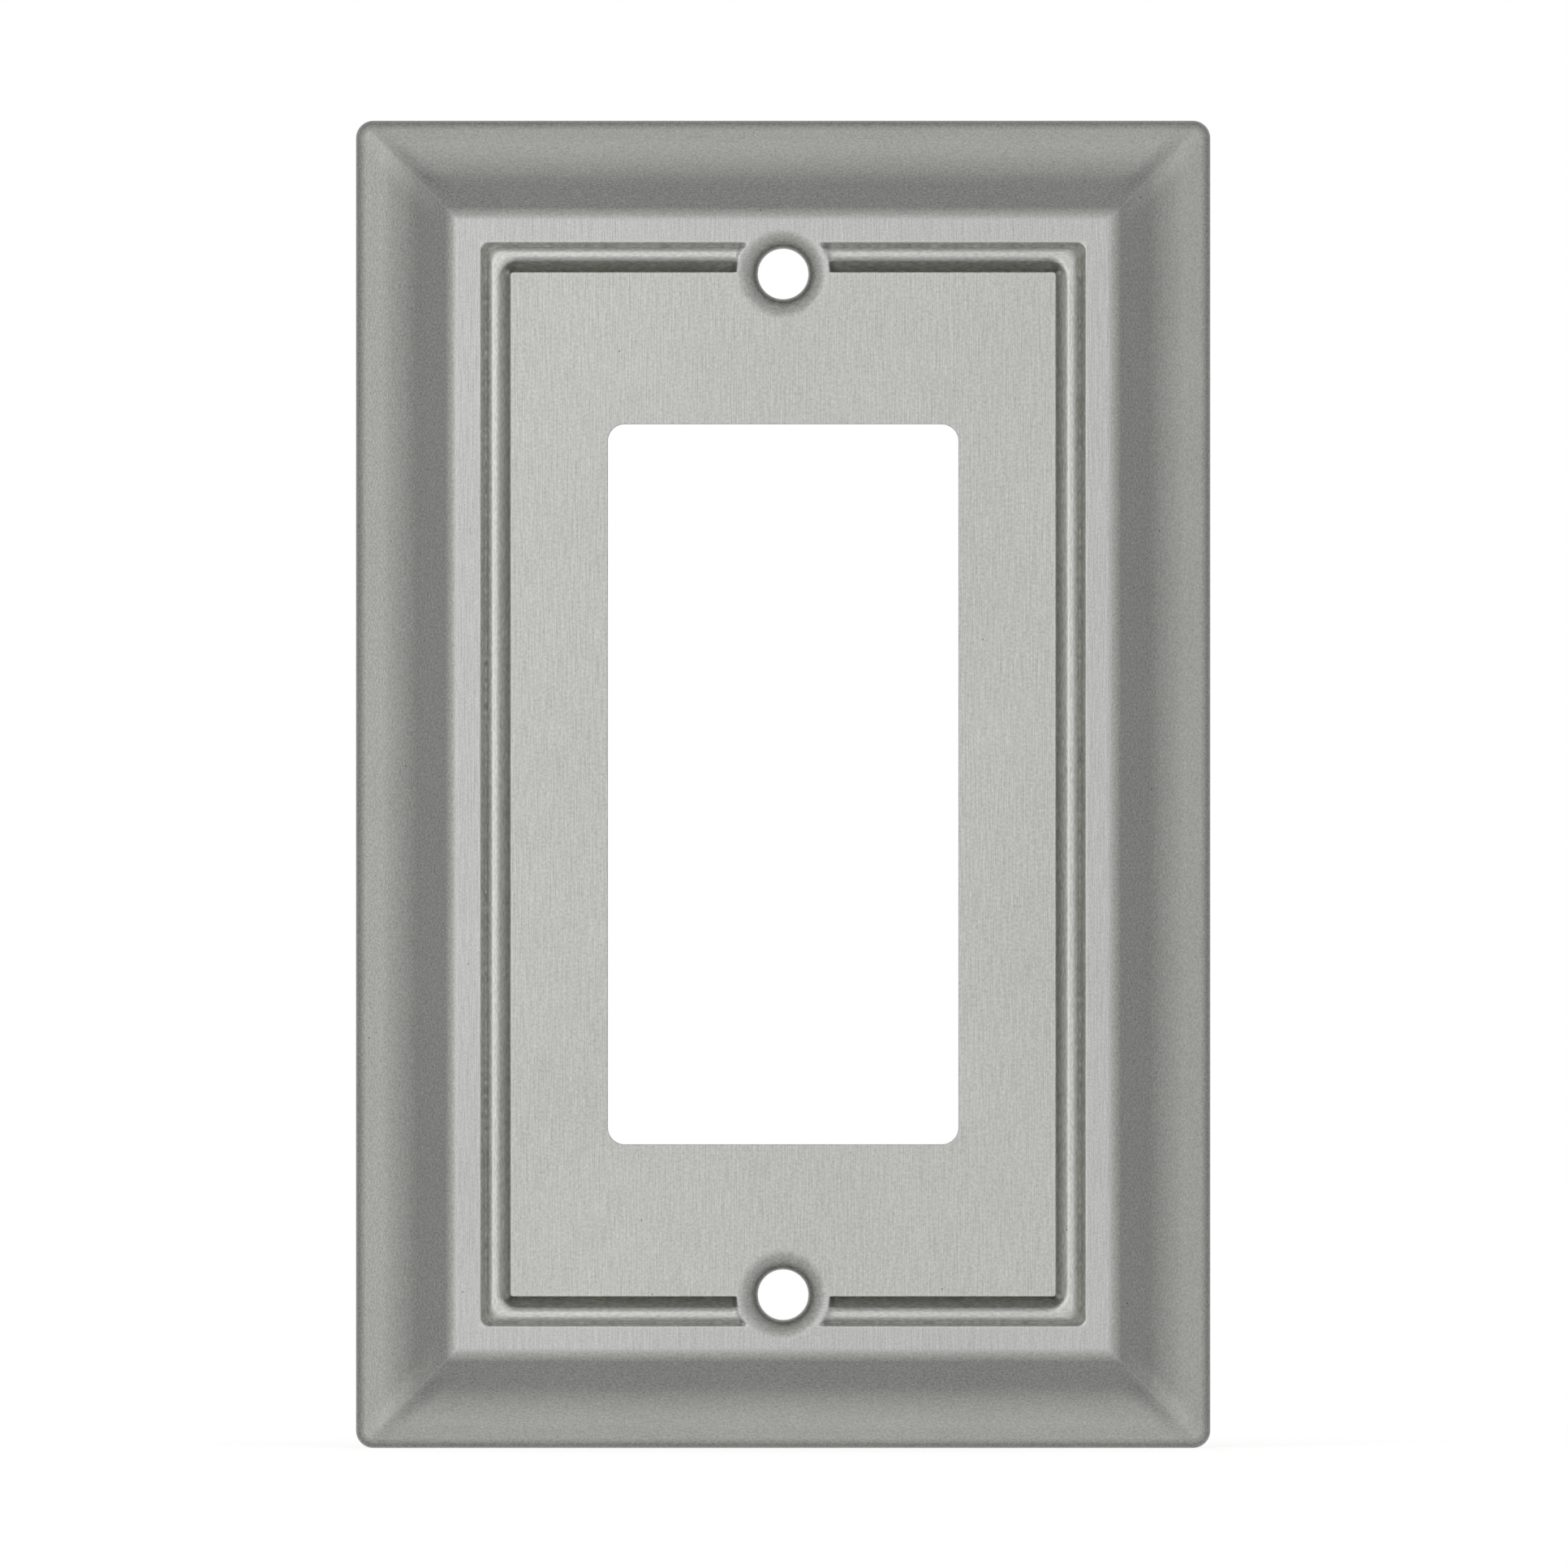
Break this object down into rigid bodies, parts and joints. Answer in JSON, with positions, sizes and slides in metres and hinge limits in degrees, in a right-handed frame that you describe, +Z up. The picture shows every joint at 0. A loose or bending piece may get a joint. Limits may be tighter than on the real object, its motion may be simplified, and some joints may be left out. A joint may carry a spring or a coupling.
{
  "type": "rocker switch wall plate",
  "caption": "Rectangular cast wall plate with a mitred cove moulding, a sunk bead round its flat panel, a rocker opening and bell-mouthed screw holes.",
  "frame": {"origin": "middle of the plate on the plane of the wall, where the flat foot of its rim lies", "axes": "+Z up the plate, +X across it to the right as seen from the front, +Y into the wall; the face looks along -Y"},
  "size_m": [0.0812, 0.0075, 0.126],
  "materials": {
    "satin_nickel": "satin nickel plate, brushed up and down on the flats"
  },
  "bodies": {
    "root": {"wall_plate": "satin_nickel"}
  },
  "joints": []
}
